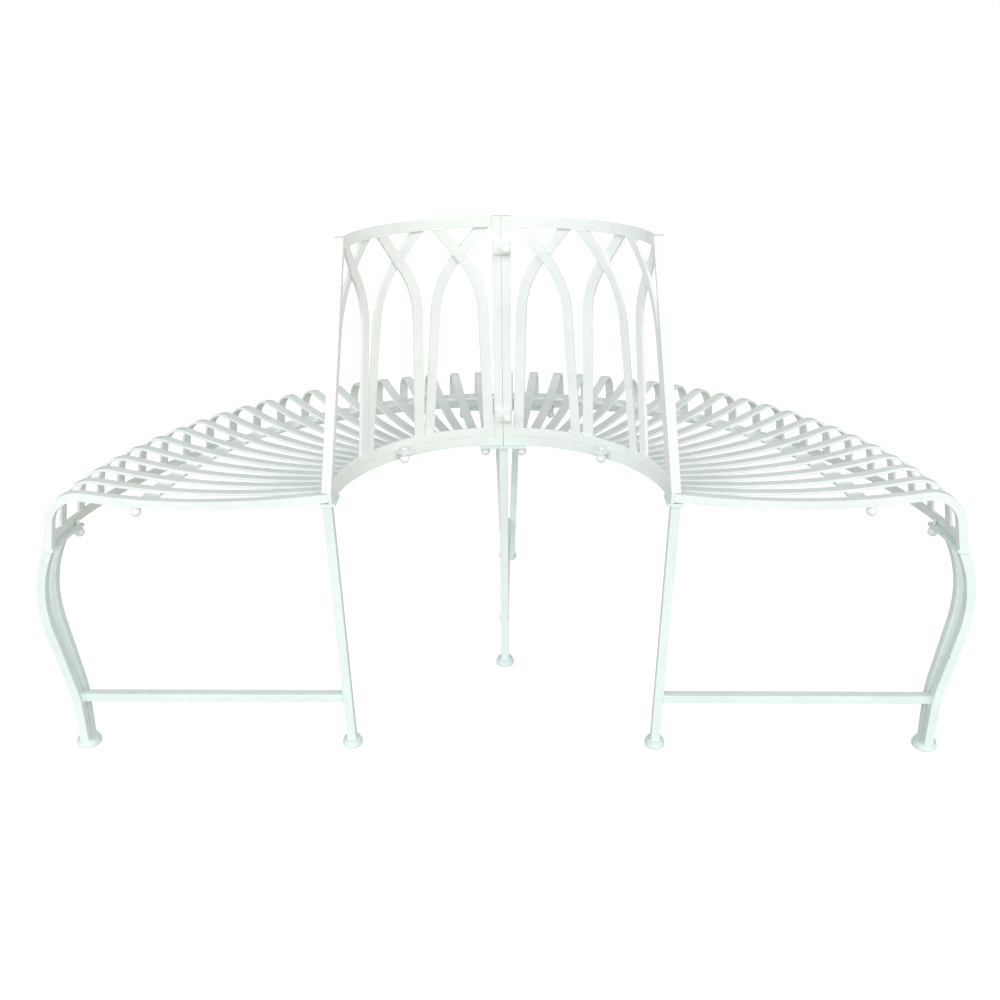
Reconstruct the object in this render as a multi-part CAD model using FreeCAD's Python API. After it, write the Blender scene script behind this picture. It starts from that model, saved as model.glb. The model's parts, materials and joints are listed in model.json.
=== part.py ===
"""Half-round tree bench: two welded quarter-ring seats with two curved back panels on three leg frames.

Millimetres, +Z up, +X to the right, +Y from the open (tree) side towards the rounded outer side.
Every section is built about the ring's centre, then the whole bench is moved so that the origin lies on the
floor under the middle of its bounding box.
"""

import FreeCAD, Part
import math
import os

from FreeCAD import Vector

os.makedirs("parts", exist_ok=True)

# ---- stock sizes -----------------------------------------------------------------------------------------
FLAT_W, FLAT_T = 17.0, 5.0        # flat bar: slats, curved rails, arch bars
RAIL = 14.0                       # square bar at both ends of a seat section
TUBE = 15.0                       # square bar: posts, legs, stretchers
PLATE_T = 5.0                     # top plates of the leg frames
INNER_PLATE_W, OUTER_PLATE_W = 25.0, 19.0
LUG_T = 4.0                       # small welded bolt lugs
LUG_W = 20.0
PROUD = 2.0                       # how far plates and strap stand out past the bars they join
MID_LUG_ANGLE = 48.0              # lugs that tie the back to the seat, from the bench's ends

# ---- ring and seat ---------------------------------------------------------------------------------------
RING_R = 259.0                    # concave face of the seat's inner rail
JOINT_GAP = 0.5                   # between the two sections at the middle joint
SLATS = 19                        # slats in one quarter-ring section
SEAT_Z = 471.0                    # top of the seat at the inner rail
DISH_R, DISH_Z = 470.0, 458.0     # lowest point of the dished seat
DISH_BEND = 1050.0                # bend radius from the lowest point up to the crown
CROWN_R = 652.0                   # highest point, before the edge rolls over
ROLL_BEND = 62.0                  # bend radius of the rolled outer edge
ROLL_LEAN = 12.0                  # lean of the drop below the roll, degrees from vertical
SKIRT_Z = 376.0                   # lower edge of the drop
MID_RAIL_R, MID_RAIL_W = 550.5, 25.0

# ---- back ------------------------------------------------------------------------------------------------
BACK_TOP_Z = 853.0
BACK_TOP_R = 211.5                # concave face at the top; the back leans towards the tree
ARCH_PAIR_ANGLE = 31.2            # from each end of a panel to the nearer pair of touching arch bars
ARCH_STRAIGHT_Z = 700.0           # where an arch bar starts to curve
ARCH_BEND = 150.0
ARCH_LEAN_LOW, ARCH_LEAN_TOP = 3.4, 40.0
ARCH_PAIR_GAP, ARCH_POST_GAP = 0.9, 1.0   # at the foot, between two touching bars and beside a post
REAR_LAP = 11.0                   # rear arch bars lap behind the rails

# ---- legs ------------------------------------------------------------------------------------------------
FOOT_H = 14.0
FOOT_BASE_H = 8.4                 # height of the wide base, below the collar
FOOT_COLLAR_STEP = 2.5            # the collar's radius is this much smaller
FOOT_ROUND_LOW, FOOT_ROUND_TOP = 3.0, 2.0
INNER_FOOT_D, OUTER_FOOT_D = 34.0, 40.0
INNER_LEG_TOP_R, INNER_LEG_FOOT_R = 267.0, 259.0
BULGE_R, BULGE_Z = 742.5, 268.0   # outermost point of an outer leg bar, on its centre line
BULGE_BEND_UP = 217.0             # bend radius above the bulge
SWEEP_BEND, SWEEP_LEAN = 250.0, 10.0
SWEEP_END_Z = 80.0                # below this height the outer leg bars are straight
SPLAY_TOP, SPLAY_FOOT = 46.0, 18.0  # spacing of the two outer leg bars
STRETCHER_Z = 90.0                # underside of the stretchers
STRETCHER_TONGUE = 3.0            # its outer end reaches this far in between the two outer leg bars
INNER_PLATE_STEP = 5.0            # the straight inner plates start this far inside the inner rail
PLATE_REACH_IN, PLATE_REACH_OUT = 41.0, 104.0
INNER_BOLT_R, INNER_BOLT_REACH = 271.0, 32.0
RIM_STUD_R, RIM_STUD_REACH = 713.5, 97.0   # studs on the outer rail, through the outer plates

# ---- fasteners -------------------------------------------------------------------------------------------
BOLT_R = 3.0                      # M6
HEAD_AF, HEAD_H = 10.0, 4.0
WASHER_R, WASHER_T = 7.0, 1.5
BALL_R, BALL_FLAT = 8.5, 7.5      # ball nut and the distance from its centre to its flat seat
BALL_DEPTH = 9.0                  # length of shank inside the ball nut
STUD_R = 565.0                    # studs in the end rails
JOINT_STUD_INSET = 8.75           # off centre at the joint, so that two ball nuts fit side by side
STUD_SINK = 9.0
STRAP_T, STRAP_W = 4.0, 24.0      # strap under the two middle end rails
BACK_PLATE_Z = (512.0, 805.0)     # plates across the middle posts
BACK_PLATE_W, BACK_PLATE_H = 27.0, 22.0

ORIGIN = Vector(0, 0, 0)
UP = Vector(0, 0, 1)
BIG = 2000.0
CLEAR = 0.15                      # paint gap where a curved bar lies on a chord

DISH_ANGLE = math.degrees(math.asin((CROWN_R - DISH_R) / (DISH_BEND + ROLL_BEND)))
CROWN_Z = DISH_Z + (DISH_BEND + ROLL_BEND) * (1 - math.cos(math.radians(DISH_ANGLE)))
BACK_SLOPE = (RING_R - BACK_TOP_R) / (BACK_TOP_Z - SEAT_Z)


def sin(a):
    return math.sin(math.radians(a))


def cos(a):
    return math.cos(math.radians(a))


def tan(a):
    return math.tan(math.radians(a))


def polar(r, angle, z=0.0):
    return Vector(r * cos(angle), r * sin(angle), z)


def shifted(shape, vector):
    copy = shape.copy()
    copy.translate(vector)
    return copy


def turned(shape, angle):
    copy = shape.copy()
    copy.rotate(ORIGIN, UP, angle)
    return copy


def back_r(z):
    """Radius of the back's concave face at height z."""
    return RING_R - BACK_SLOPE * (z - SEAT_Z)


def box(x0, x1, y0, y1, z0, z1):
    return Part.makeBox(x1 - x0, y1 - y0, z1 - z0, Vector(x0, y0, z0))


def quarter(margin):
    """The space of one section, kept clear of both end planes by the margin."""
    return box(margin, BIG, margin, BIG, 0, BIG)


def ring(section_points):
    """Full ring from a closed (radius, height) outline."""
    wire = Part.makePolygon([Vector(r, 0, z) for r, z in section_points + section_points[:1]])
    return Part.Face(wire).revolve(ORIGIN, UP, 360)


def cone_ring(z0, z1, r0, r1, thickness):
    """Ring of flat bar on edge; r0 and r1 are its concave radii at z0 and z1."""
    return ring([(r0, z0), (r0 + thickness, z0), (r1 + thickness, z1), (r1, z1)])


def frustum(low_r, top_r, z0, height):
    if low_r == top_r:
        return Part.makeCylinder(low_r, height, Vector(0, 0, z0))
    return Part.makeCone(low_r, top_r, height, Vector(0, 0, z0))


def back_ring(z0, z1, inner=0.0, thickness=FLAT_T):
    return cone_ring(z0, z1, back_r(z0) + inner, back_r(z1) + inner, thickness)


def arc(centre, radius, a0, a1):
    """Arc in the XZ plane; angles from +X towards +Z."""
    def at(a):
        return Vector(centre[0] + radius * cos(a), 0, centre[1] + radius * sin(a))
    return Part.Arc(at(a0), at((a0 + a1) / 2), at(a1)).toShape(), at(a0), at(a1)


# ---- seat ------------------------------------------------------------------------------------------------
def seat_line(depth, start_r):
    """Edges of the seat's side profile, offset down from its top line by depth."""
    bend_in = ((DISH_R - RING_R) ** 2 + (SEAT_Z - DISH_Z) ** 2) / (2 * (SEAT_Z - DISH_Z))
    start_a = 270 - math.degrees(math.asin((DISH_R - start_r) / (bend_in + depth)))
    first, p0, _ = arc((DISH_R, DISH_Z + bend_in), bend_in + depth, start_a, 270)
    second, _, _ = arc((DISH_R, DISH_Z + DISH_BEND), DISH_BEND + depth, 270, 270 + DISH_ANGLE)
    third, _, p3 = arc((CROWN_R, CROWN_Z - ROLL_BEND), ROLL_BEND - depth, 90 + DISH_ANGLE, ROLL_LEAN)
    end = Vector(p3.x + (p3.z - SKIRT_Z) * tan(ROLL_LEAN), 0, SKIRT_Z)
    return [first, second, third, Part.makeLine(p3, end)], p0, end


def seat_bar(depth, width, start_r, low_z):
    """A bar bent to the seat's side profile, centred on the XZ plane."""
    top, top_start, top_end = seat_line(0.0, start_r)
    low, low_start, low_end = seat_line(depth, start_r)
    ends = [Part.makeLine(top_end, low_end), Part.makeLine(low_start, top_start)]
    face = Part.Face(Part.Wire(Part.__sortEdges__(top + low + ends)))
    bar = face.extrude(Vector(0, width, 0))
    bar.translate(Vector(0, -width / 2, 0))
    return bar.common(box(0, BIG, -width, width, low_z, BIG))


def skirt_r(z, depth=0.0):
    """Radius of the drop at height z, depth inside its outer face."""
    roll_end_r = CROWN_R + (ROLL_BEND - depth) * cos(ROLL_LEAN)
    roll_end_z = CROWN_Z - ROLL_BEND + (ROLL_BEND - depth) * sin(ROLL_LEAN)
    return roll_end_r + (roll_end_z - z) * tan(ROLL_LEAN)


def dish_point(r, depth):
    """Point below the dish's rising part, depth under its top line, and the direction straight out of it."""
    a = math.degrees(math.asin((r - DISH_R) / DISH_BEND))
    z = DISH_Z + DISH_BEND * (1 - cos(a))
    down = Vector(sin(a), 0, -cos(a))
    return Vector(r, 0, z) + down * depth, down


def stud_axis(inset):
    """Where a stud leaves an end rail's underside, inset from the end plane, and its direction."""
    foot_point, down = dish_point(STUD_R, RAIL)
    return Vector(foot_point.x, inset, foot_point.z), down


def stud(inset, below):
    """Stud standing in an end rail and reaching the given distance below it."""
    point, down = stud_axis(inset)
    return Part.makeCylinder(BOLT_R, STUD_SINK + below, point - down * STUD_SINK, down)


def end_rail(stud_inset):
    """Square end bar of a section, its outer face in the section's end plane."""
    bar = seat_bar(RAIL, RAIL, RING_R + FLAT_T, SKIRT_Z)
    bar.translate(Vector(0, RAIL / 2, 0))
    return bar.cut(stud(stud_inset, 0))


def slats():
    """Slats fanned evenly between the two end rails, closer together at the inner rail."""
    inner_r, outer_r = RING_R + FLAT_T, skirt_r(SKIRT_Z)
    blank = seat_bar(FLAT_T, FLAT_W, RING_R, SKIRT_Z + FLAT_W)
    hollow = Part.makeCylinder(inner_r, BIG)

    def angle(r, i):
        first = math.degrees(math.asin(RAIL / 2 / r))
        return first + (90 - 2 * first) * i / (SLATS + 1)

    bars = []
    for i in range(1, SLATS + 1):
        bar = turned(blank, angle(outer_r, i))
        lag = inner_r * math.radians(angle(inner_r, i) - angle(outer_r, i))
        skew = math.degrees(math.atan(lag / (outer_r - inner_r)))
        bar.rotate(polar(outer_r, angle(outer_r, i)), UP, -skew)
        bars.append(bar.cut(hollow))
    return Part.makeCompound(bars)


def seat_inner_rail():
    return cone_ring(SEAT_Z - FLAT_W, SEAT_Z, RING_R, RING_R, FLAT_T).common(quarter(0))


def seat_outer_rail():
    z0, z1 = SKIRT_Z, SKIRT_Z + FLAT_W
    rim = ring([(skirt_r(z0, FLAT_T), z0), (skirt_r(z0), z0), (skirt_r(z1), z1), (skirt_r(z1, FLAT_T), z1)])
    return rim.common(quarter(RAIL))


def seat_mid_rail():
    r0, r1 = MID_RAIL_R - MID_RAIL_W / 2, MID_RAIL_R + MID_RAIL_W / 2
    z0, z1 = (dish_point(r, FLAT_T)[0].z - CLEAR for r in (r0, r1))
    return ring([(r0, z0), (r1, z1), (r1, z1 - FLAT_T), (r0, z0 - FLAT_T)]).common(quarter(RAIL))


def lug(r0, r1, z0, reach):
    """Small plate welded to a rail, reach along the rim from the section's end plane."""
    angle = math.degrees(math.asin(reach / ((r0 + r1) / 2)))
    blank = box(0, BIG, -LUG_W / 2, LUG_W / 2, z0, z0 + LUG_T)
    blank.rotate(ORIGIN, UP, angle)
    return blank.common(cone_ring(z0, z0 + LUG_T, r0, r0, r1 - r0))


def rim_lug(z0, angle):
    """Lug welded inside the curve of the inner rail or of the back's bottom rail."""
    blank = box(RING_R - LUG_W, BIG, -LUG_W / 2, LUG_W / 2, z0, z0 + LUG_T)
    low_r, top_r = (min(RING_R, back_r(z)) for z in (z0, z0 + LUG_T))
    return turned(blank.common(frustum(low_r, top_r, z0, LUG_T)), angle)


def seat_lugs(middle_angle):
    inner = lug(RING_R + FLAT_T, INNER_BOLT_R + LUG_W / 2, SEAT_Z - FLAT_W, INNER_BOLT_REACH)
    return Part.makeCompound([inner, across(inner), rim_lug(SEAT_Z - LUG_T, middle_angle)])


def rim_point(r, reach, z):
    """Point at radius r, reach away from the end plane."""
    return Vector(math.sqrt(r * r - reach * reach), reach, z)


def across(shape):
    """The same shape at the section's other end."""
    return shape.mirror(ORIGIN, Vector(1, -1, 0).normalize())


# ---- back ------------------------------------------------------------------------------------------------
def back_post():
    """Square post at the end plane, standing on the seat and leaning with the back."""
    squares = []
    for z, r in ((SEAT_Z, RING_R), (BACK_TOP_Z, BACK_TOP_R)):
        corners = [Vector(r, 0, z), Vector(r + TUBE, 0, z), Vector(r + TUBE, TUBE, z), Vector(r, TUBE, z)]
        squares.append(Part.makePolygon(corners + corners[:1]))
    return Part.makeLoft(squares, True, True)


def back_rail(z0):
    return back_ring(z0, z0 + FLAT_W).common(quarter(TUBE))


def arch_outline(base, side):
    """Flat outline of an arch bar in the plane facing the arch; side is +1 to curve towards +t."""
    low, bend_z, top = SEAT_Z, ARCH_STRAIGHT_Z, BACK_TOP_Z + FLAT_W
    g, b = ARCH_LEAN_LOW, ARCH_LEAN_TOP
    start = (bend_z - low) * tan(g)
    centre_t, centre_z = start + ARCH_BEND * cos(g), bend_z - ARCH_BEND * sin(g)

    def point(offset, a):
        """Point on the bend at lean a, offset towards the hollow of the curve."""
        r = ARCH_BEND - offset
        return centre_t - r * cos(a), centre_z + r * sin(a)

    def at(t, z):
        return Vector(base + side * t, 0, z)

    edges = []
    for offset in (-FLAT_W / 2, FLAT_W / 2):
        (t0, z0), (tm, zm), (t1, z1) = (point(offset, a) for a in (g, (g + b) / 2, b))
        foot = at(t0 - (z0 - low) * tan(g), low)
        tip = at(t1 + (top - z1) * tan(b), top)
        edges.append((foot, at(t0, z0), at(tm, zm), at(t1, z1), tip))
    (a0, a1, am, a2, a3), (b0, b1, bm, b2, b3) = edges
    outside = [Part.makeLine(a0, a1), Part.Arc(a1, am, a2).toShape(), Part.makeLine(a2, a3)]
    inside = [Part.makeLine(b3, b2), Part.Arc(b2, bm, b1).toShape(), Part.makeLine(b1, b0)]
    return Part.Face(Part.Wire(outside + [Part.makeLine(a3, b3)] + inside + [Part.makeLine(b0, a0)]))


def arch(number):
    """One pointed arch: the bar that leans left crosses in front of the bar that leans right."""
    half = math.degrees((FLAT_W + ARCH_PAIR_GAP) / 2 / RING_R)
    first = math.degrees(math.asin((TUBE + FLAT_W / 2 + ARCH_POST_GAP) / RING_R))
    bases = [first, ARCH_PAIR_ANGLE - half, ARCH_PAIR_ANGLE + half, 90 - ARCH_PAIR_ANGLE - half,
             90 - ARCH_PAIR_ANGLE + half, 90 - first]
    a0, a1 = bases[2 * number], bases[2 * number + 1]
    middle = (a0 + a1) / 2
    base_t = RING_R * sin((a1 - a0) / 2)
    z0, z1 = SEAT_Z + FLAT_W, BACK_TOP_Z - FLAT_W
    front = back_ring(z0, z1)
    rear = back_ring(z0 - REAR_LAP, z1 + REAR_LAP, FLAT_T).common(quarter(TUBE))
    bars = []
    for shell, base, side in ((front, -base_t, 1), (rear, base_t, -1)):
        solid = arch_outline(base, side).extrude(Vector(0, -BIG, 0))
        solid.rotate(ORIGIN, UP, middle + 90)
        bars.append(solid.common(shell))
    return Part.makeCompound(bars)


# ---- legs ------------------------------------------------------------------------------------------------
def foot(r, offset, diameter):
    """Turned foot: a wide rounded base under a narrower collar."""
    big, collar = diameter / 2, diameter / 2 - FOOT_COLLAR_STEP
    low, top, step = FOOT_ROUND_LOW, FOOT_ROUND_TOP, FOOT_BASE_H
    low_arc, _, _ = arc((big - low, low), low, -90, 0)
    top_arc, _, _ = arc((big - top, step - top), top, 0, 90)

    def line(r0, z0, r1, z1):
        return Part.makeLine(Vector(r0, 0, z0), Vector(r1, 0, z1))

    rim = [line(0, 0, big - low, 0), low_arc, line(big, low, big, step - top), top_arc]
    neck = [line(big - top, step, collar, step), line(collar, step, collar, FOOT_H)]
    core = [line(collar, FOOT_H, 0, FOOT_H), line(0, FOOT_H, 0, 0)]
    body = Part.Face(Part.Wire(rim + neck + core)).revolve(ORIGIN, UP, 360)
    body.translate(Vector(r, offset, 0))
    return body


def inner_leg(offset):
    top_z = SEAT_Z - FLAT_W - PLATE_T
    squares = []
    for z, r in ((FOOT_H, INNER_LEG_FOOT_R), (top_z, INNER_LEG_TOP_R)):
        x0, x1, y0, y1 = r - TUBE / 2, r + TUBE / 2, offset - TUBE / 2, offset + TUBE / 2
        corners = [Vector(x0, y0, z), Vector(x1, y0, z), Vector(x1, y1, z), Vector(x0, y1, z)]
        squares.append(Part.makePolygon(corners + corners[:1]))
    return Part.makeLoft(squares, True, True)


def leg_curve(shift):
    """Side edge of the S-shaped outer leg bar, shift outside its centre line."""
    up_end = math.degrees(math.asin((SKIRT_Z - PLATE_T + TUBE - BULGE_Z) / BULGE_BEND_UP))
    upper, _, top = arc((BULGE_R - BULGE_BEND_UP, BULGE_Z), BULGE_BEND_UP + shift, 0, up_end)
    first, _, p1 = arc((BULGE_R - SWEEP_BEND, BULGE_Z), SWEEP_BEND + shift, 0, -SWEEP_LEAN)
    drop_z = BULGE_Z - SWEEP_END_Z - 2 * SWEEP_BEND * sin(SWEEP_LEAN)
    step = Vector(-drop_z * tan(SWEEP_LEAN), 0, -drop_z)
    low_centre = (BULGE_R - SWEEP_BEND + 2 * SWEEP_BEND * cos(SWEEP_LEAN) + step.x, SWEEP_END_Z)
    last, p2, low = arc(low_centre, SWEEP_BEND - shift, 180 - SWEEP_LEAN, 180)
    end = Vector(low.x, 0, FOOT_H - TUBE)
    return [upper, first, Part.makeLine(p1, p2), last, Part.makeLine(low, end)], top, end


def leg_foot_r():
    return leg_curve(0.0)[2].x


def outer_leg_bar(top_offset, foot_offset):
    """S-shaped bar in a tilted plane, offset along the rim at its top and foot."""
    out, out_top, out_end = leg_curve(TUBE / 2)
    inn, inn_top, inn_end = leg_curve(-TUBE / 2)
    ends = [Part.makeLine(out_top, inn_top), Part.makeLine(out_end, inn_end)]
    bar = Part.Face(Part.Wire(Part.__sortEdges__(out + inn + ends))).extrude(Vector(0, TUBE, 0))
    bar.translate(Vector(0, -TUBE / 2, 0))
    top_z = SKIRT_Z - PLATE_T
    tilt = math.degrees(math.atan2(foot_offset - top_offset, top_z - FOOT_H))
    bar.rotate(Vector(0, 0, top_z), Vector(1, 0, 0), tilt)
    bar.translate(Vector(0, top_offset, 0))
    return bar.common(box(0, BIG, -BIG / 2, BIG / 2, FOOT_H, top_z))


def inner_top_plate(both_ways):
    """Straight plate under the inner rail, reaching to one or both sides of the end plane."""
    x0, z1 = RING_R - INNER_PLATE_STEP, SEAT_Z - FLAT_W
    near = -PLATE_REACH_IN if both_ways else 0.0
    return box(x0, x0 + INNER_PLATE_W, near, PLATE_REACH_IN, z1 - PLATE_T, z1)


def outer_top_plate(both_ways):
    """Curved plate under the outer rail, reaching to one or both sides of the end plane."""
    r0 = skirt_r(SKIRT_Z) + PROUD - OUTER_PLATE_W
    far = math.degrees(math.asin(PLATE_REACH_OUT / (r0 + OUTER_PLATE_W / 2)))
    before, after = box(0, BIG, -BIG, 0, 0, BIG), box(0, BIG, 0, BIG, 0, BIG)
    before.rotate(ORIGIN, UP, far)
    if both_ways:
        after.rotate(ORIGIN, UP, -far)
    return cone_ring(SKIRT_Z - PLATE_T, SKIRT_Z, r0, r0, OUTER_PLATE_W).common(before).common(after)


def leg_frame(both_ways):
    """A leg frame standing along +X; both_ways for the middle frame, centred on the joint."""
    inner_offset = 0.0 if both_ways else TUBE / 2
    front_top = -SPLAY_TOP / 2 if both_ways else TUBE / 2
    front_foot = inner_offset - SPLAY_FOOT / 2
    front = outer_leg_bar(front_top, front_foot)
    rear = outer_leg_bar(front_top + SPLAY_TOP, front_foot + SPLAY_FOOT)
    leg = inner_leg(inner_offset)
    y0, y1 = inner_offset - TUBE / 2, inner_offset + TUBE / 2
    end_r = leg_foot_r() - TUBE / 2 + STRETCHER_TONGUE
    blank = box(INNER_LEG_FOOT_R, end_r, y0, y1, STRETCHER_Z, STRETCHER_Z + TUBE)
    stretcher = max(blank.cut([leg, front, rear]).Solids, key=lambda solid: solid.Volume)
    return {
        "inner_leg": leg,
        "outer_leg_front_bar": front,
        "outer_leg_rear_bar": rear,
        "stretcher": stretcher,
        "inner_top_plate": inner_top_plate(both_ways),
        "outer_top_plate": outer_top_plate(both_ways),
        "inner_foot": foot(INNER_LEG_FOOT_R, inner_offset, INNER_FOOT_D),
        "outer_foot": foot(leg_foot_r(), inner_offset, OUTER_FOOT_D),
    }


# ---- fasteners -------------------------------------------------------------------------------------------
def ball_nut(seat, down):
    """Ball nut whose flat seat is at the given point; down points from the seat to the ball."""
    ball, rim, tip = arc((0, BALL_FLAT), BALL_R, -math.degrees(math.asin(BALL_FLAT / BALL_R)), 90)
    bore = [Vector(0, 0, BALL_DEPTH), Vector(BOLT_R, 0, BALL_DEPTH), Vector(BOLT_R, 0, 0)]
    outline = Part.Wire([ball] + Part.makePolygon([tip] + bore + [rim]).Edges)
    nut = Part.Face(outline).revolve(ORIGIN, UP, 360)
    nut.Placement = FreeCAD.Placement(seat, FreeCAD.Rotation(UP, down))
    return nut


def washer(seat, down):
    disc = Part.makeCylinder(WASHER_R, WASHER_T, seat, down)
    return disc.cut(Part.makeCylinder(BOLT_R, WASHER_T, seat, down))


def hex_bolt(seat, down, grip):
    """Hexagon bolt: the underside of its head at seat, its shank along down."""
    rim = HEAD_AF / 2 / cos(30)
    corners = [Vector(rim * cos(60 * i), rim * sin(60 * i), 0) for i in range(7)]
    head = Part.Face(Part.makePolygon(corners)).extrude(Vector(0, 0, -HEAD_H))
    shank = Part.makeCylinder(BOLT_R, grip + WASHER_T + BALL_DEPTH)
    bolt = head.fuse(shank).removeSplitter()
    bolt.Placement = FreeCAD.Placement(seat, FreeCAD.Rotation(UP, down))
    return bolt


def bolted(seat, down, grip):
    """Bolt, washer and ball nut clamping a stack of the given thickness."""
    under = seat + down * grip
    return hex_bolt(seat, down, grip), washer(under, down), ball_nut(under + down * WASHER_T, down)


# ---- assembly --------------------------------------------------------------------------------------------
HALF_GAP = Vector(JOINT_GAP / 2, 0, 0)
MIRROR = Vector(1, 0, 0)
DOWN = Vector(0, 0, -1)


def both_sides(shapes):
    """Right-hand shapes moved clear of the middle joint, and their mirror images on the left."""
    right = [shifted(shape, HALF_GAP) for shape in shapes]
    return right, [shape.mirror(ORIGIN, MIRROR) for shape in right]


def section(near, far, lug_angle):
    """All welded pieces of one quarter: its near end in the XZ plane, its far end in the YZ plane."""
    rails = {"end": end_rail(RAIL / 2), "joint": end_rail(JOINT_STUD_INSET)}
    post = back_post()
    parts = {
        "seat_inner_rail": seat_inner_rail(),
        "seat_mid_rail": seat_mid_rail(),
        "seat_outer_rail": seat_outer_rail(),
        "seat_%s_rail" % near: rails[near],
        "seat_%s_rail" % far: across(rails[far]),
        "seat_slats": slats(),
        "seat_bolt_lugs": seat_lugs(lug_angle),
        "back_%s_post" % near: post,
        "back_%s_post" % far: across(post),
        "back_top_rail": back_rail(BACK_TOP_Z - FLAT_W),
        "back_bottom_rail": back_rail(SEAT_Z),
        "back_bolt_lug": rim_lug(SEAT_Z, lug_angle),
    }
    for i in range(3):
        parts["back_arch_%d" % (i + 1)] = arch(i)
    return parts


def seat_bolts():
    """Bolts between the leg frames and the seat, and between the seat and the back."""
    x, y, z = rim_point(INNER_BOLT_R, INNER_BOLT_REACH, SEAT_Z - FLAT_W + LUG_T)
    sets = [bolted(seat, DOWN, LUG_T + PLATE_T) for seat in (Vector(x, y, z), Vector(y, x, z))]
    sets.append(bolted(polar(RING_R - LUG_W / 2, MID_LUG_ANGLE, SEAT_Z + LUG_T), DOWN, 2 * LUG_T))
    return [side for group in sets for side in both_sides(group)]


def rail_studs():
    """Studs with ball nuts under the four end rails; the middle pair also holds the strap."""
    sets = []
    for inset, strap in ((RAIL / 2, 0.0), (JOINT_STUD_INSET, STRAP_T)):
        point, down = stud_axis(inset)
        under = point + down * strap
        nut = ball_nut(under + down * WASHER_T, down)
        group = [stud(inset, strap + WASHER_T + BALL_DEPTH), washer(under, down), nut]
        if strap:
            group = [across(piece) for piece in group]
        sets.extend(both_sides(group))
    return sets


def rim_studs():
    """Studs welded to the inside of the outer rail, with ball nuts under the outer top plates."""
    foot_point = rim_point(RIM_STUD_R, RIM_STUD_REACH, SKIRT_Z)
    under = foot_point + DOWN * PLATE_T
    length = STUD_SINK + PLATE_T + WASHER_T + BALL_DEPTH
    shank = Part.makeCylinder(BOLT_R, length, foot_point - DOWN * STUD_SINK, DOWN).cut(seat_outer_rail())
    group = [shank, washer(under, DOWN), ball_nut(under + DOWN * WASHER_T, DOWN)]
    return [side for pieces in (group, [across(piece) for piece in group]) for side in both_sides(pieces)]


def joint_strap():
    point, down = stud_axis(JOINT_STUD_INSET)
    reach = RAIL + HALF_GAP.x + PROUD
    strap = box(-reach, reach, -STRAP_W / 2, STRAP_W / 2, -STRAP_T, 0)
    strap.Placement = FreeCAD.Placement(
        Vector(0, point.x, point.z), FreeCAD.Rotation(DOWN, Vector(0, down.x, down.z)))
    return strap


def back_joint():
    """Two plates over the middle posts, each bolted through the right-hand post."""
    forward = Vector(0, -1, -BACK_SLOPE).normalize()
    post_depth = TUBE / math.hypot(1, BACK_SLOPE)
    post_x = HALF_GAP.x + TUBE / 2
    plates, sets = [], []
    for z in BACK_PLATE_Z:
        face = Vector(0, back_r(z), z)
        plate = box(-BACK_PLATE_W / 2, BACK_PLATE_W / 2, -LUG_T, 0, -BACK_PLATE_H / 2, BACK_PLATE_H / 2)
        plate.Placement = FreeCAD.Placement(face, FreeCAD.Rotation(Vector(0, -1, 0), forward))
        plates.append(plate)
        behind = face + Vector(post_x, 0, 0) - forward * post_depth
        sets.append(bolted(behind, forward, post_depth + LUG_T))
    return Part.makeCompound(plates), sets


def build():
    nodes = {}
    right = section("end", "joint", MID_LUG_ANGLE)
    left = section("joint", "end", 90 - MID_LUG_ANGLE)
    for name, shape in right.items():
        nodes["right_" + name] = shifted(shape, HALF_GAP)
    for name, shape in left.items():
        nodes["left_" + name] = shifted(turned(shape, 90), -HALF_GAP)
    for name, shape in leg_frame(False).items():
        (nodes["right_" + name],), (nodes["left_" + name],) = both_sides([shape])
    for name, shape in leg_frame(True).items():
        nodes["middle_" + name] = turned(shape, 90)

    plates, back_sets = back_joint()
    nodes["back_joint_plates"] = plates
    nodes["seat_joint_strap"] = joint_strap()
    bolt_sets, stud_sets = seat_bolts() + back_sets, rail_studs() + rim_studs()
    bolts, studs = [group[0] for group in bolt_sets], [group[0] for group in stud_sets]
    nodes["bolts"] = Part.makeCompound(bolts)
    nodes["studs"] = Part.makeCompound(studs)
    nodes["washers"] = Part.makeCompound([group[1] for group in bolt_sets + stud_sets])
    nodes["ball_nuts"] = Part.makeCompound([group[2] for group in bolt_sets + stud_sets])

    drilled = ("lug", "plate", "strap", "right_back_joint_post")
    for name, shape in nodes.items():
        if any(key in name for key in drilled):
            through = [bolt for bolt in bolts + studs if bolt.BoundBox.intersect(shape.BoundBox)]
            nodes[name] = shape.cut(through) if through else shape
    return nodes


def main():
    nodes = build()
    bounds = Part.makeCompound(list(nodes.values())).optimalBoundingBox()
    to_origin = Vector(-bounds.Center.x, -bounds.Center.y, -bounds.ZMin)
    for name, shape in nodes.items():
        solids = shifted(shape, to_origin).Solids
        shape = solids[0] if len(solids) == 1 else Part.makeCompound(solids)
        shape.exportStep("parts/%s.step" % name)
    size = [round(length, 1) for length in (bounds.XLength, bounds.YLength, bounds.ZLength)]
    print("nodes", len(nodes), "size", size)


main()
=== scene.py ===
"""Half-round tree bench in worn off-white paint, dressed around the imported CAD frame."""

import bpy
import bmesh
import json
import math
import random
from mathutils import Matrix, Vector
from mathutils.bvhtree import BVHTree


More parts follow.
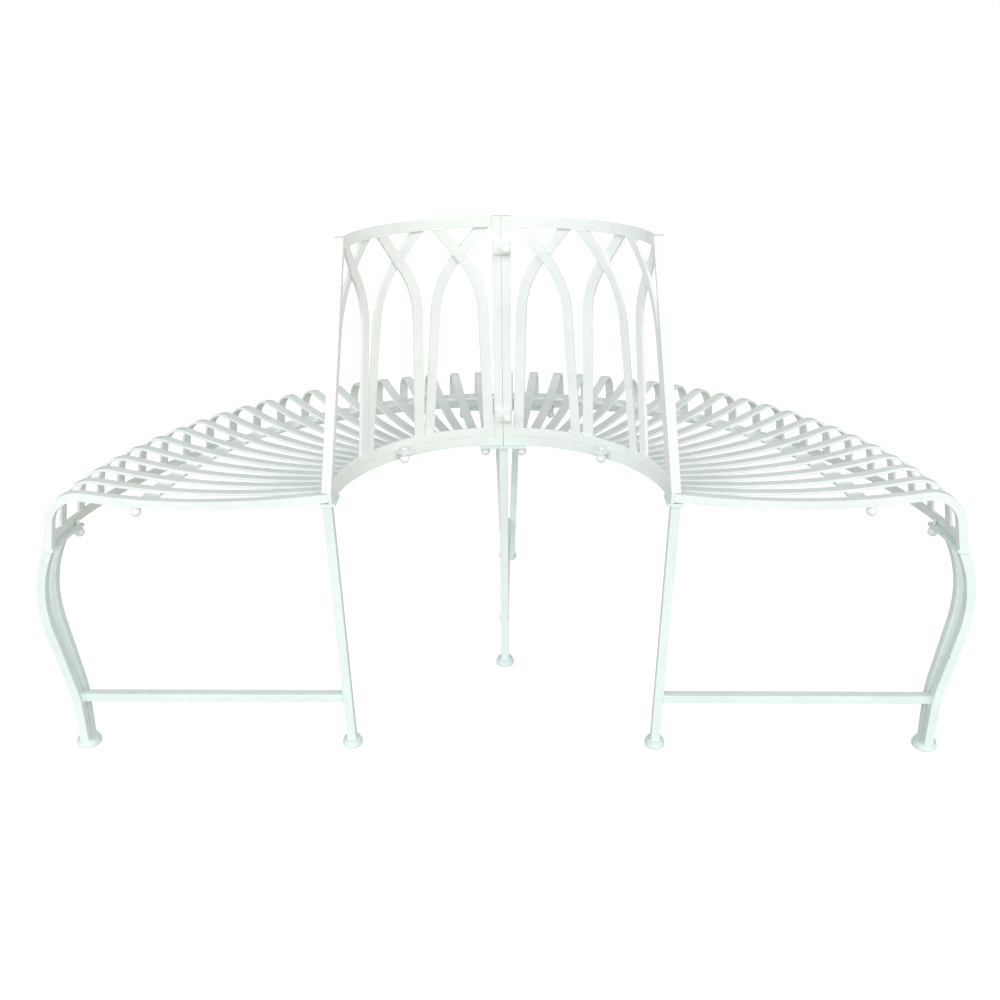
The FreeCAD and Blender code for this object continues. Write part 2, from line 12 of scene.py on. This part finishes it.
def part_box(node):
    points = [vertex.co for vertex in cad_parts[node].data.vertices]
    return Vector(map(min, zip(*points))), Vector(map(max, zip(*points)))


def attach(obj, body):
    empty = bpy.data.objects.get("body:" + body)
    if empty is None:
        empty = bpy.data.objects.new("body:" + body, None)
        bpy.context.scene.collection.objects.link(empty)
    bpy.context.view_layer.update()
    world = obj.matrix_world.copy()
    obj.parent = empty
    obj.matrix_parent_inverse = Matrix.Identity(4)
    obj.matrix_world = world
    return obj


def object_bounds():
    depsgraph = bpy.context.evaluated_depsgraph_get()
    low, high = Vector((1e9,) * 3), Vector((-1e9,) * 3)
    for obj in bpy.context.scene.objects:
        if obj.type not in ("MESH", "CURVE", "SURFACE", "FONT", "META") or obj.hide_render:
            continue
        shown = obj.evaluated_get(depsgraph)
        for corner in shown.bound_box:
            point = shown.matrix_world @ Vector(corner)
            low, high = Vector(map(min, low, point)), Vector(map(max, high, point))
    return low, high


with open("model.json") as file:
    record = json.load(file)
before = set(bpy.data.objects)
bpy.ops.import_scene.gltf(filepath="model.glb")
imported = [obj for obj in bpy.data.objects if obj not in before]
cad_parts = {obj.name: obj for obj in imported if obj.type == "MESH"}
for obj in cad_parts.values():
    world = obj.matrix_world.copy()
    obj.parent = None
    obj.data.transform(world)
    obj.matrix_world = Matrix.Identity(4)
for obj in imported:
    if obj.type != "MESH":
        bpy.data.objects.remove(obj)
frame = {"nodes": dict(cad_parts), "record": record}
CAD_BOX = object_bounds()
MM = 0.001
MERGE = 0.02 * MM         # corners nearer than this are one corner

# ---- camera ------------------------------------------------------------------------------------------------
FRONT_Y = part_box("right_seat_end_rail")[0].y      # the plane of the bench's open side
CAMERA_AT = Vector((0.030, -1.368 + FRONT_Y, 1.056))
CAMERA_YAW, CAMERA_PITCH, CAMERA_ROLL = -1.30, 23.50, -0.58   # degrees
FOCAL_OVER_WIDTH = 0.978
SENSOR_WIDTH = 36.0
NEAREST, FARTHEST = 0.05, 50.0


def make_camera():
    data = bpy.data.cameras.new("camera")
    data.sensor_width = SENSOR_WIDTH
    data.lens = SENSOR_WIDTH * FOCAL_OVER_WIDTH
    data.clip_start, data.clip_end = NEAREST, FARTHEST
    cam = bpy.data.objects.new("camera", data)
    yaw, pitch, roll = (math.radians(a) for a in (CAMERA_YAW, CAMERA_PITCH, CAMERA_ROLL))
    ahead = Vector((math.sin(yaw) * math.cos(pitch), math.cos(yaw) * math.cos(pitch), -math.sin(pitch)))
    right = Vector((math.cos(yaw), -math.sin(yaw), 0.0))
    up = right.cross(ahead)
    right, up = right * math.cos(roll) + up * math.sin(roll), up * math.cos(roll) - right * math.sin(roll)
    rotation = Matrix((right, up, -ahead)).transposed()
    cam.matrix_world = Matrix.Translation(CAMERA_AT) @ rotation.to_4x4()
    bpy.context.scene.collection.objects.link(cam)
    bpy.context.scene.camera = cam


make_camera()
bpy.context.scene.view_settings.view_transform = "Standard"


# ---- stage and light ---------------------------------------------------------------------------------------
WHITE = (1, 1, 1, 1)
PALE = 1.0                # brightness of the backdrop, level with the floor's
SKY = 0.42                # brightness of the dome that lights the bench from all around
SKY_COLOUR = (0.975, 1.0, 1.0, 1)
FLOOR_COLOUR = (0.88, 0.88, 0.88, 1)
FLOOR_GLOW = 0.45         # lifts the floor to plain white for the camera
FLOOR_BOUNCE = (0.64, 0.62, 0.575, 1)   # the colour that lights the bench from below, darker and warmer
FLOOR_ROUGHNESS, FLOOR_SHINE = 0.9, 0.1
FLOOR_REACH = 80.0
LAMP_DISTANCE = 4.0       # where a lamp is drawn; its light is even, so this changes nothing else
# Each light's name, azimuth, elevation, strength, spread in degrees, and colour.
LIGHTS = (
    ("key", -2, 28, 1.22, 30, (0.95, 0.99, 1.0)),
    ("left_fill", -50, 26, 1.00, 40, (0.95, 1.0, 1.0)),
    ("right_fill", 52, 26, 1.12, 40, (1.0, 0.98, 0.90)),
)


def camera_switch(tree, seen, lighting, output):
    """Send one shader to the camera and another to every other ray."""
    path = tree.nodes.new("ShaderNodeLightPath")
    mix = tree.nodes.new("ShaderNodeMixShader")
    tree.links.new(path.outputs["Is Camera Ray"], mix.inputs["Fac"])
    tree.links.new(lighting.outputs[0], mix.inputs[1])
    tree.links.new(seen.outputs[0], mix.inputs[2])
    tree.links.new(mix.outputs[0], output.inputs["Surface"])


def floor_material():
    """Plain pale floor, white to the camera and darker in the light that bounces off it."""
    mat = bpy.data.materials.new("pale_floor")
    mat.use_nodes = True
    tree = mat.node_tree
    bsdf = tree.nodes["Principled BSDF"]
    bsdf.inputs["Base Color"].default_value = FLOOR_COLOUR
    bsdf.inputs["Roughness"].default_value = FLOOR_ROUGHNESS
    bsdf.inputs["Specular IOR Level"].default_value = FLOOR_SHINE
    bsdf.inputs["Emission Color"].default_value = WHITE
    bsdf.inputs["Emission Strength"].default_value = FLOOR_GLOW
    bounce = tree.nodes.new("ShaderNodeBsdfDiffuse")
    bounce.inputs["Color"].default_value = FLOOR_BOUNCE
    camera_switch(tree, bsdf, bounce, tree.nodes["Material Output"])
    return mat


def studio_world():
    """A dim even dome for light, which the camera sees as a backdrop as pale as the floor."""
    world = bpy.data.worlds.new("studio")
    world.use_nodes = True
    tree = world.node_tree
    dome = tree.nodes["Background"]
    dome.inputs["Color"].default_value = SKY_COLOUR
    dome.inputs["Strength"].default_value = SKY
    backdrop = tree.nodes.new("ShaderNodeBackground")
    backdrop.inputs["Color"].default_value = WHITE
    backdrop.inputs["Strength"].default_value = PALE
    camera_switch(tree, backdrop, dome, tree.nodes["World Output"])
    bpy.context.scene.world = world


def soft_light(name, azimuth, elevation, strength, spread, colour):
    """Even light from far off; azimuth 0 comes from the bench's open side, elevation is above the floor."""
    data = bpy.data.lights.new(name, "SUN")
    data.energy, data.angle, data.color = strength, math.radians(spread), colour
    lamp = bpy.data.objects.new(name, data)
    a, e = math.radians(azimuth), math.radians(elevation)
    source = Vector((math.sin(a) * math.cos(e), -math.cos(a) * math.cos(e), math.sin(e)))
    lamp.rotation_mode = "QUATERNION"
    lamp.rotation_quaternion = (-source).to_track_quat("-Z", "Y")
    lamp.location = source * LAMP_DISTANCE
    bpy.context.scene.collection.objects.link(lamp)


def make_stage():
    mesh = bpy.data.meshes.new("floor")
    corners = [(x * FLOOR_REACH, y * FLOOR_REACH, 0) for x, y in ((-1, -1), (1, -1), (1, 1), (-1, 1))]
    mesh.from_pydata(corners, [], [(0, 1, 2, 3)])
    floor = bpy.data.objects.new("floor", mesh)
    floor.data.materials.append(floor_material())
    bpy.context.scene.collection.objects.link(floor)
    studio_world()
    for light in LIGHTS:
        soft_light(*light)


make_stage()


# ---- paint -------------------------------------------------------------------------------------------------
class Graph:
    """Small helper to wire a material's nodes."""

    def __init__(self, name):
        self.mat = bpy.data.materials.new(name)
        self.mat.use_nodes = True
        self.tree = self.mat.node_tree
        self.bsdf = self.tree.nodes["Principled BSDF"]
        self.coords = self.tree.nodes.new("ShaderNodeTexCoord").outputs["Object"]

    def link(self, value, socket):
        if hasattr(value, "is_linked"):
            self.tree.links.new(value, socket)
        else:
            socket.default_value = value

    def noise(self, scale, detail=3.0, roughness=0.5):
        node = self.tree.nodes.new("ShaderNodeTexNoise")
        self.link(self.coords, node.inputs["Vector"])
        node.inputs["Scale"].default_value = scale
        node.inputs["Detail"].default_value = detail
        node.inputs["Roughness"].default_value = roughness
        return node.outputs["Fac"]

    def math(self, operation, a, b):
        node = self.tree.nodes.new("ShaderNodeMath")
        node.operation = operation
        self.link(a, node.inputs[0])
        self.link(b, node.inputs[1])
        return node.outputs[0]

    def ramp(self, value, low, high, to_low=0.0, to_high=1.0):
        node = self.tree.nodes.new("ShaderNodeMapRange")
        node.interpolation_type = "SMOOTHSTEP"
        self.link(value, node.inputs["Value"])
        for name, number in (("From Min", low), ("From Max", high), ("To Min", to_low), ("To Max", to_high)):
            node.inputs[name].default_value = number
        return node.outputs["Result"]

    def mix(self, factor, a, b):
        node = self.tree.nodes.new("ShaderNodeMix")
        node.data_type = "RGBA"
        colour = [s for s in node.inputs if s.type == "RGBA"]
        self.link(factor, node.inputs["Factor"])
        self.link(a if hasattr(a, "is_linked") else (*a, 1), colour[0])
        self.link(b if hasattr(b, "is_linked") else (*b, 1), colour[1])
        return next(s for s in node.outputs if s.type == "RGBA")

    def upward(self):
        """1 on faces that look up, 0 on walls and undersides."""
        geometry = self.tree.nodes.new("ShaderNodeNewGeometry")
        split = self.tree.nodes.new("ShaderNodeSeparateXYZ")
        self.link(geometry.outputs["Normal"], split.inputs[0])
        return self.ramp(split.outputs["Z"], low=0.35, high=0.9)

    def bump(self, height, distance, strength, normal=None):
        node = self.tree.nodes.new("ShaderNodeBump")
        node.inputs["Distance"].default_value = distance
        node.inputs["Strength"].default_value = strength
        self.link(height, node.inputs["Height"])
        if normal is not None:
            self.link(normal, node.inputs["Normal"])
        return node.outputs["Normal"]


IRON = (0.085, 0.060, 0.045)
PRIMER = (0.36, 0.37, 0.34)
# Colour of the darker film on upward faces: partly real dust, partly painted shade standing in for dimmer
# light on the tops.
DUST_AND_SHADE = (0.60, 0.62, 0.53)
MOTTLE_SHADE, MOTTLE_COVER = 0.90, 0.35   # the mottle's tint beside the deep one, and how much of it shows
THINNEST_DUST_AND_SHADE = 0.35      # share of the dust and painted shade that is left where the film is thinnest
PRIMER_RIM = 0.025        # how much further a chip's rim reaches than its bare middle
PRIMER_COVER = 0.55
GLOSSIEST, DULLEST = 0.34, 0.52           # the paint's roughness
LUMP_HEIGHT, PEEL_HEIGHT, CHIP_DEPTH = 0.6 * MM, 0.2 * MM, 0.4 * MM
# Grain of each pattern, in noise cells to the metre.
TINT_CELLS, MOTTLE_CELLS, DUST_AND_SHADE_CELLS, GLOSS_CELLS = 7.0, 60.0, 11.0, 35.0
CHIP_CELLS, CHIP_PATCH_CELLS, LUMP_CELLS, PEEL_CELLS = 230.0, 9.0, 95.0, 620.0


def tint(g, light, deep):
    """Paint colour that drifts between two tints, with a fine darker mottle."""
    drift = g.ramp(g.noise(TINT_CELLS, detail=4.0), low=0.35, high=0.65)
    mottle = g.noise(MOTTLE_CELLS, detail=5.0, roughness=0.6)
    cover = g.ramp(mottle, low=0.40, high=0.75, to_high=MOTTLE_COVER)
    return g.mix(cover, g.mix(drift, light, deep), [c * MOTTLE_SHADE for c in deep])


def dusted_and_shaded(g, colour, dust_and_shade):
    """The colour with a patchy darker film on what faces up: partly dust, partly painted shade on the tops.
    """
    cloud = g.noise(DUST_AND_SHADE_CELLS, detail=5.0, roughness=0.6)
    # Painted shade and dust together: faces that look up are darkened towards the dust colour.
    dust_and_shade_film = g.math("MULTIPLY", g.upward(), g.ramp(cloud, low=0.30, high=0.68, to_low=THINNEST_DUST_AND_SHADE))
    return g.mix(g.math("MULTIPLY", dust_and_shade_film, dust_and_shade), colour, DUST_AND_SHADE)


def chipped(g, colour, chips):
    """The colour with chips through primer to iron, and where the chips are; chips are noise limits."""
    rarest, commonest = chips
    spots = g.noise(CHIP_CELLS, detail=4.0, roughness=0.62)
    limit = g.ramp(g.noise(CHIP_PATCH_CELLS), low=0.35, high=0.70, to_low=rarest, to_high=commonest)
    rim = g.math("GREATER_THAN", spots, g.math("SUBTRACT", limit, PRIMER_RIM))
    bare = g.math("GREATER_THAN", spots, limit)
    colour = g.mix(g.math("MULTIPLY", rim, PRIMER_COVER), colour, PRIMER)
    return g.mix(bare, colour, IRON), rim


def relief(g, rim):
    """Lumpy brushed paint with a fine orange peel, cut away at the chips."""
    lumps = g.bump(g.noise(LUMP_CELLS), LUMP_HEIGHT, strength=0.35)
    peel = g.bump(g.noise(PEEL_CELLS, detail=2.0), PEEL_HEIGHT, strength=0.35, normal=lumps)
    return g.bump(g.math("SUBTRACT", 1.0, rim), CHIP_DEPTH, strength=0.5, normal=peel)


def paint(name, light, deep, dust_and_shade, chips):
    """Thick hand-finished paint: uneven tint, a film of dust and painted shade on what faces up, chips down
    to the iron.
    """
    g = Graph(name)
    colour, rim = chipped(g, dusted_and_shaded(g, tint(g, light, deep), dust_and_shade), chips)
    gloss = g.noise(GLOSS_CELLS, detail=4.0, roughness=0.6)
    g.link(colour, g.bsdf.inputs["Base Color"])
    g.link(g.ramp(gloss, low=0.3, high=0.7, to_low=GLOSSIEST, to_high=DULLEST), g.bsdf.inputs["Roughness"])
    g.link(relief(g, rim), g.bsdf.inputs["Normal"])
    return g.mat


# One paint in three tints: the back's paler tint is painted light, the legs' darker, more aqua tint is
# painted shade.
PAINTS = {
    # Each part's dust amount is partly dust and partly painted shade that darkens its tops.
    "paint_seat": dict(light=(0.815, 0.86, 0.855), deep=(0.765, 0.815, 0.80), dust_and_shade=0.22),
    "paint_back": dict(light=(0.885, 0.913, 0.90), deep=(0.83, 0.87, 0.855), dust_and_shade=0.15),
    "paint_legs": dict(light=(0.745, 0.825, 0.83), deep=(0.695, 0.78, 0.785), dust_and_shade=0.10),
    "paint_fasteners": dict(light=(0.86, 0.89, 0.87), deep=(0.81, 0.845, 0.82), dust_and_shade=0.10),
}
FACE_CHIPS, EDGE_CHIPS = (0.84, 0.765), (0.78, 0.66)   # a lower limit chips more, and edges chip most
FACES = {slot: paint(slot + "_faces", chips=FACE_CHIPS, **look) for slot, look in PAINTS.items()}
EDGES = {slot: paint(slot + "_edges", chips=EDGE_CHIPS, **look) for slot, look in PAINTS.items()}
NODE_SLOT = {part["node"]: part["material_slot"] for part in frame["record"]["subparts"]}


# ---- CAD nodes ---------------------------------------------------------------------------------------------
EDGE_ROUND = 0.9 * MM
FLAT = math.radians(0.4)       # faces that turn less than this are one face
EDGE_TURN = math.radians(35)   # edges that turn more than this are rounded
EDGE_MATERIAL = 1


def dress(node):
    """Rounded, worn edges and paint on a piece that comes straight from the frame."""
    obj, slot = frame["nodes"][node], NODE_SLOT[node]
    obj.data.materials.clear()
    obj.data.materials.append(FACES[slot])
    obj.data.materials.append(EDGES[slot])
    obj.modifiers.new("join", "WELD").merge_threshold = MERGE
    flat = obj.modifiers.new("planar", "DECIMATE")
    flat.decimate_type, flat.angle_limit = "DISSOLVE", FLAT
    bevel = obj.modifiers.new("rounding", "BEVEL")
    bevel.width, bevel.segments = EDGE_ROUND, 2
    bevel.limit_method, bevel.angle_limit = "ANGLE", EDGE_TURN
    bevel.material = EDGE_MATERIAL
    obj.modifiers.new("shading", "WEIGHTED_NORMAL")


for node in frame["nodes"]:
    dress(node)


# ---- welds -------------------------------------------------------------------------------------------------
TOUCH = 0.3 * MM          # an edge this near another piece lies on it
SHARP = math.radians(30)       # a solid's edge that turns more than this can carry a weld
CORNER = math.radians(50)      # a bead carries on around a turn less than this
FILLET, GROUND = 1.5 * MM, 1.0 * MM   # bead radius in a corner, and where the faces are flush
BEAD_SIDES = 7
BEAD_STEP = 1.2 * MM      # spacing of the rings along a bead
BEAD_SPREAD = 0.15        # how much one bead's radius differs from the next, up or down
BEAD_END = 0.45           # radius of a bead's very end, beside the rest of it
RIPPLE = 3.6 * MM         # length of one solidified ripple
RIPPLE_HEIGHT, RIPPLE_SPREAD = 0.13, 0.04   # shares of the radius


class Solid:
    """One closed solid of a CAD node: its sharp edges, and a tree to find its surface."""

    def __init__(self, faces):
        index = {}
        for face in faces:
            for vert in face.verts:
                index.setdefault(vert, len(index))
        points = [vert.co.copy() for vert in index]
        self.tree = BVHTree.FromPolygons(points, [[index[v] for v in face.verts] for face in faces])
        edges = dict.fromkeys(edge for face in faces for edge in face.edges)
        self.edges = [tuple(vert.co.copy() for vert in edge.verts)
                      for edge in edges if edge.calc_face_angle(0.0) > SHARP]

    def touches(self, point):
        return self.tree.find_nearest(point, TOUCH)[0] is not None


def solids(node):
    """The separate solids of a CAD node."""
    mesh = bmesh.new()
    mesh.from_mesh(frame["nodes"][node].data)
    bmesh.ops.remove_doubles(mesh, verts=mesh.verts, dist=MERGE)
    mesh.faces.index_update()
    seen, found = set(), []
    for seed in mesh.faces:
        island, queue = [], [seed]
        while queue:
            face = queue.pop()
            if face.index not in seen:
                seen.add(face.index)
                island.append(face)
                queue.extend(other for edge in face.edges for other in edge.link_faces)
        if island:
            found.append(Solid(island))
    mesh.free()
    return found


def contact_runs(piece, other):
    """Stretches of the piece's sharp edges that lie on the other solid, as lists of points."""
    runs = []
    for start, end in piece.edges:
        count = max(1, round((end - start).length / BEAD_STEP))
        run = []
        for i in range(count + 1):
            point = start.lerp(end, i / count)
            if other.touches(point):
                run.append(point)
            elif run:
                runs.append(run)
                run = []
        runs.append(run)
    return [run for run in runs if len(run) > 1]


def follows(run, other):
    """True where the other run carries on from this one without a sharp turn."""
    meets = (run[-1] - other[0]).length < 2 * MERGE
    return meets and (run[-1] - run[-2]).angle(other[1] - other[0]) < CORNER


def chained(runs):
    """The same runs, joined end to end wherever one follows another."""
    done = []
    while runs:
        run = runs.pop(0)
        i = 0
        while i < len(runs):
            joined = None
            for other in (runs[i], runs[i][::-1]):
                if follows(run, other):
                    joined = run + other[1:]
                elif follows(other, run):
                    joined = other + run[1:]
            i += 1
            if joined:
                run = joined
                runs.pop(i - 1)
                i = 0
        done.append(run)
    return done


def add_bead(mesh, path, radius, draw):
    """A rippled bead of weld along a path, as a closed tube with tapered ends."""
    travelled = [0.0]
    for p, q in zip(path, path[1:]):
        travelled.append(travelled[-1] + (q - p).length)
    phase = draw.uniform(0, math.tau)
    size = radius * draw.uniform(1 - BEAD_SPREAD, 1 + BEAD_SPREAD)
    rings = []
    for i, (point, distance) in enumerate(zip(path, travelled)):
        along = path[min(i + 1, len(path) - 1)] - path[max(i - 1, 0)]
        upright = abs(along.z) >= 0.9 * along.length
        side = along.cross(Vector((0, 1, 0)) if upright else Vector((0, 0, 1))).normalized()
        up = side.cross(along).normalized()
        from_end = min(distance, travelled[-1] - distance) / size
        taper = BEAD_END + (1 - BEAD_END) * math.sqrt(1 - (1 - min(from_end, 1.0)) ** 2)
        wave = RIPPLE_HEIGHT * math.sin(math.tau * distance / RIPPLE + phase)
        r = size * taper * (1 + wave + draw.uniform(-RIPPLE_SPREAD, RIPPLE_SPREAD))
        ring = []
        for k in range(BEAD_SIDES):
            a = math.tau * k / BEAD_SIDES
            place = point + (side * math.cos(a) + up * math.sin(a)) * r
            place.z = min(place.z, CAD_BOX[1].z)   # ground flush along the top of the back
            ring.append(mesh.verts.new(place))
        rings.append(ring)
    for ring, after in zip(rings, rings[1:]):
        for k in range(BEAD_SIDES):
            m = (k + 1) % BEAD_SIDES
            mesh.faces.new((ring[k], ring[m], after[m], after[k])).smooth = True
    mesh.faces.new(rings[0][::-1])
    mesh.faces.new(rings[-1])


def weld(name, slot, seams):
    """All the beads of one welded unit as one piece; a seam is (piece, what it is welded to, bead radius)."""
    draw = random.Random(name)
    mesh = bmesh.new()
    for node, other, radius in seams:
        for piece in solids(node):
            for base in solids(other):
                for path in chained(contact_runs(piece, base)):
                    add_bead(mesh, path, radius, draw)
    data = bpy.data.meshes.new(name)
    mesh.normal_update()
    mesh.to_mesh(data)
    mesh.free()
    data.materials.append(FACES[slot])
    piece = bpy.data.objects.new(name, data)
    bpy.context.scene.collection.objects.link(piece)
    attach(piece, "root")


def seat_seams(side):
    """Slats on their three rails, the rails to the two shaped side bars, and the lugs on the inner rail."""
    seat = side + "_seat_"
    seams = [(seat + "slats", seat + rail, GROUND) for rail in ("inner_rail", "outer_rail", "mid_rail")]
    for end in ("end_rail", "joint_rail"):
        seams.append((seat + end, seat + "inner_rail", GROUND))
        seams.append((seat + "outer_rail", seat + end, FILLET))
        seams.append((seat + "mid_rail", seat + end, FILLET))
    return seams + [(seat + "bolt_lugs", seat + "inner_rail", FILLET)]


def back_seams(side):
    """The lug on the bottom rail, and both rails to the posts and the arch bars."""
    back = side + "_back_"
    seams = [(back + "bolt_lug", back + "bottom_rail", FILLET)]
    for rail in ("top_rail", "bottom_rail"):
        seams.extend((back + rail, back + post, GROUND) for post in ("end_post", "joint_post"))
        seams.extend((back + "arch_%d" % number, back + rail, GROUND) for number in (1, 2, 3))
    return seams


def leg_seams(place):
    """Every bar to its top plate and foot, and the stretcher between the legs."""
    leg = place + "_"
    bars = (leg + "outer_leg_front_bar", leg + "outer_leg_rear_bar")
    seams = [(leg + "inner_leg", leg + base, FILLET) for base in ("inner_top_plate", "inner_foot")]
    seams.extend((bar, leg + base, FILLET) for bar in bars for base in ("outer_top_plate", "outer_foot"))
    return seams + [(leg + "stretcher", base, FILLET) for base in (leg + "inner_leg", *bars)]


for side in ("right", "left"):
    weld(side + "_seat_welds", "paint_seat", seat_seams(side))
    weld(side + "_back_welds", "paint_back", back_seams(side))
for place in ("right", "middle", "left"):
    weld(place + "_leg_welds", "paint_legs", leg_seams(place))
